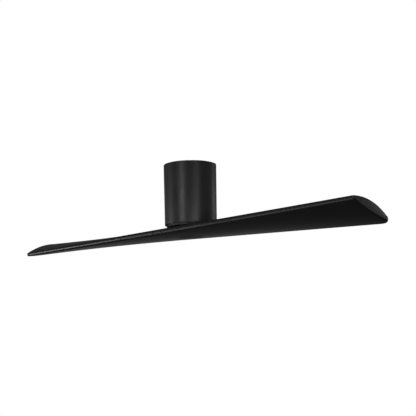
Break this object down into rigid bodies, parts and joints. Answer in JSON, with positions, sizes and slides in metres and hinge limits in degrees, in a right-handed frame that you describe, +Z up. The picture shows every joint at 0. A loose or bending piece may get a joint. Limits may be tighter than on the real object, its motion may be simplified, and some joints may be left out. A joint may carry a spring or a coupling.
{
  "type": "flush ceiling fan",
  "caption": "Flush ceiling fan with a plain round black housing and one twisted double blade turning under it on an outer-rotor motor.",
  "frame": {"origin": "centre of the ceiling bracket's top face, on the ceiling", "axes": "+Z up into the ceiling, +X along the blade at rest"},
  "size_m": [1.3196, 0.2124, 0.2458],
  "materials": {
    "zinc_plated_steel": "satin",
    "black_powder_coat": "satin",
    "black_cast_aluminium": "matte",
    "cast_aluminium": "matte",
    "brass": "satin",
    "white_plastic": "satin",
    "grey_plastic": "matte",
    "green_board": "satin",
    "can_sleeve": "gloss",
    "copper_wire": "satin",
    "lamination_steel": "satin",
    "ground_steel": "satin",
    "spring_steel": "satin",
    "bearing_steel": "polished",
    "magnet": "matte",
    "rubber": "matte",
    "black_lacquered_wood": "satin",
    "black_plastic": "satin"
  },
  "bodies": {
    "base": {"ceiling_bracket": "zinc_plated_steel", "hanger_frame": "zinc_plated_steel", "hanger_screws": "zinc_plated_steel", "driver_screws": "zinc_plated_steel", "shaft_washer": "zinc_plated_steel", "shaft_nut": "zinc_plated_steel", "terminal_fixing_screws": "zinc_plated_steel", "housing_shell": "black_powder_coat", "shell_screws": "black_powder_coat", "board_heat_sink": "cast_aluminium", "earth_screw": "brass", "terminal_clamp_screws": "brass", "terminal_block": "white_plastic", "driver_case": "grey_plastic", "driver_lid": "grey_plastic", "driver_board": "green_board", "board_capacitors": "can_sleeve", "board_coil": "copper_wire", "stator_windings": "copper_wire", "stator_core": "lamination_steel", "motor_shaft": "ground_steel", "retaining_ring": "spring_steel", "upper_bearing_inner_ring": "bearing_steel", "lower_bearing_inner_ring": "bearing_steel"},
    "rotor": {"rotor_upper_shell": "cast_aluminium", "rotor_lower_shell": "black_cast_aluminium", "rotor_screws": "zinc_plated_steel", "rotor_flux_ring": "lamination_steel", "rotor_magnets": "magnet", "preload_washer": "spring_steel", "blade_hub": "cast_aluminium", "hub_screws": "zinc_plated_steel", "blade_pad": "rubber", "blade": "black_lacquered_wood", "blade_washers": "zinc_plated_steel", "blade_screws": "zinc_plated_steel", "cover_cap": "black_plastic", "upper_bearing_outer_ring": "bearing_steel", "upper_bearing_shields": "spring_steel", "lower_bearing_outer_ring": "bearing_steel", "lower_bearing_shields": "spring_steel"},
    "upper_cage": {"upper_bearing_balls": "bearing_steel", "upper_bearing_cage": "brass"},
    "lower_cage": {"lower_bearing_balls": "bearing_steel", "lower_bearing_cage": "brass"}
  },
  "joints": [
    {"name": "rotor_spin", "type": "hinge", "parent": "base", "child": "rotor", "pos_m": [0, 0, -0.1], "axis": [0, 0, -1], "continuous": true},
    {"name": "upper_cage_spin", "type": "hinge", "parent": "base", "child": "upper_cage", "pos_m": [0, 0, -0.143], "axis": [0, 0, -1], "continuous": true},
    {"name": "lower_cage_spin", "type": "hinge", "parent": "base", "child": "lower_cage", "pos_m": [0, 0, -0.183], "axis": [0, 0, -1], "continuous": true}
  ],
  "couplings": [
    {"joint": "upper_cage_spin", "follows": "rotor_spin", "ratio": 0.61842},
    {"joint": "lower_cage_spin", "follows": "rotor_spin", "ratio": 0.61842}
  ]
}
